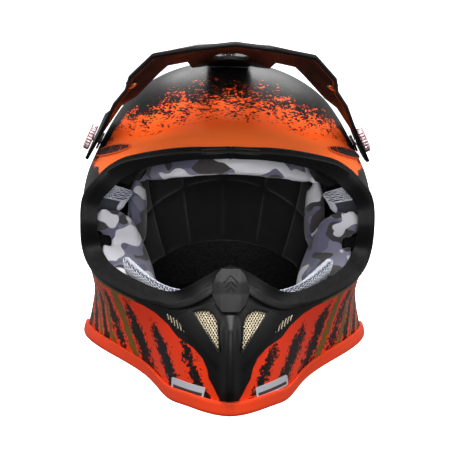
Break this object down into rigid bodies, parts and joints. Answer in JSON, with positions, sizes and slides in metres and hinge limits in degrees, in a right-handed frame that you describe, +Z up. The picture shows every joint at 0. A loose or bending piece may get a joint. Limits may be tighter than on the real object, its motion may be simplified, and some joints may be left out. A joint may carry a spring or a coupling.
{
  "type": "motocross helmet",
  "caption": "Full-face off-road helmet with a tilting peak, padded liner, vented chin bar, edge trim and a chin strap with two D-rings.",
  "frame": {"origin": "middle of the bounding box on the table the helmet stands on", "axes": "+Z up, -Y the way the wearer looks, +X the wearer's left"},
  "size_m": [0.2542, 0.3821, 0.297],
  "materials": {
    "shell_black": "satin clear coat over fibre composite",
    "trim_orange": "matt moulded rubber",
    "black_rubber": "matt moulded rubber",
    "black_plastic": "fine moulded texture",
    "mesh_metal": "expanded mesh",
    "eps_foam": "expanded polystyrene beads",
    "camo_fabric": "printed brushed fabric",
    "white_mesh": "open knitted mesh",
    "liner_fabric": "brushed fabric",
    "webbing": "woven webbing",
    "steel": "polished",
    "pink_alloy": "anodised, knurled edge",
    "brass": "polished"
  },
  "bodies": {
    "shell": {"brow_pad": "camo_fabric", "cheek_core_left": "eps_foam", "cheek_core_right": "eps_foam", "cheek_mesh_pad_left": "white_mesh", "cheek_mesh_pad_right": "white_mesh", "cheek_pad_left": "camo_fabric", "cheek_pad_right": "camo_fabric", "chin_grille_left": "mesh_metal", "chin_grille_right": "mesh_metal", "chin_impact_foam": "eps_foam", "chin_vent_housing": "black_plastic", "crown_comfort_liner": "liner_fabric", "crown_impact_foam": "eps_foam", "crown_insert": "brass", "crown_seat": "black_rubber", "edge_trim": "trim_orange", "eyeport_gasket": "black_rubber", "neck_roll": "liner_fabric", "nose_guard": "black_rubber", "outer_shell": "shell_black", "rear_vent_left": "black_plastic", "rear_vent_right": "black_plastic", "side_boss_left": "black_plastic", "side_boss_right": "black_plastic", "side_insert_left": "brass", "side_insert_right": "brass", "side_pad_left": "camo_fabric", "side_pad_right": "camo_fabric", "strap_left": "webbing", "strap_plate_left": "steel", "strap_plate_right": "steel", "strap_right": "webbing", "temple_mesh_pad_left": "white_mesh", "temple_mesh_pad_right": "white_mesh", "temple_vent_left": "black_plastic", "temple_vent_right": "black_plastic"},
    "peak": {"peak": "black_plastic", "peak_rivet_left": "brass", "peak_rivet_right": "brass"},
    "side_screw_left": {"side_screw_left": "pink_alloy"},
    "side_screw_right": {"side_screw_right": "pink_alloy"},
    "crown_screw": {"crown_screw": "pink_alloy"},
    "d_ring_inner": {"d_ring_inner": "steel"},
    "d_ring_outer": {"d_ring_outer": "steel"}
  },
  "joints": [
    {"name": "peak_tilt", "type": "hinge", "parent": "shell", "child": "peak", "pos_m": [0, 0.043, 0.203], "axis": [-1, 0, 0], "range_deg": [-5, 6]},
    {"name": "side_screw_left_turn", "type": "hinge", "parent": "shell", "child": "side_screw_left", "pos_m": [0.117, 0.043, 0.203], "axis": [0.9135, 0, 0.4067], "continuous": true},
    {"name": "side_screw_right_turn", "type": "hinge", "parent": "shell", "child": "side_screw_right", "pos_m": [-0.117, 0.043, 0.203], "axis": [-0.9135, 0, 0.4067], "continuous": true},
    {"name": "crown_screw_turn", "type": "hinge", "parent": "shell", "child": "crown_screw", "pos_m": [0, 0.031, 0.28007], "axis": [0, -0.1538, 0.9881], "continuous": true},
    {"name": "inner_ring_swing", "type": "hinge", "parent": "shell", "child": "d_ring_inner", "pos_m": [0.0835, 0.0603, 0.027], "axis": [0, 1, 0], "range_deg": [0, 60]},
    {"name": "outer_ring_swing", "type": "hinge", "parent": "shell", "child": "d_ring_outer", "pos_m": [0.0885, 0.0603, 0.027], "axis": [0, -1, 0], "range_deg": [0, 30]}
  ]
}
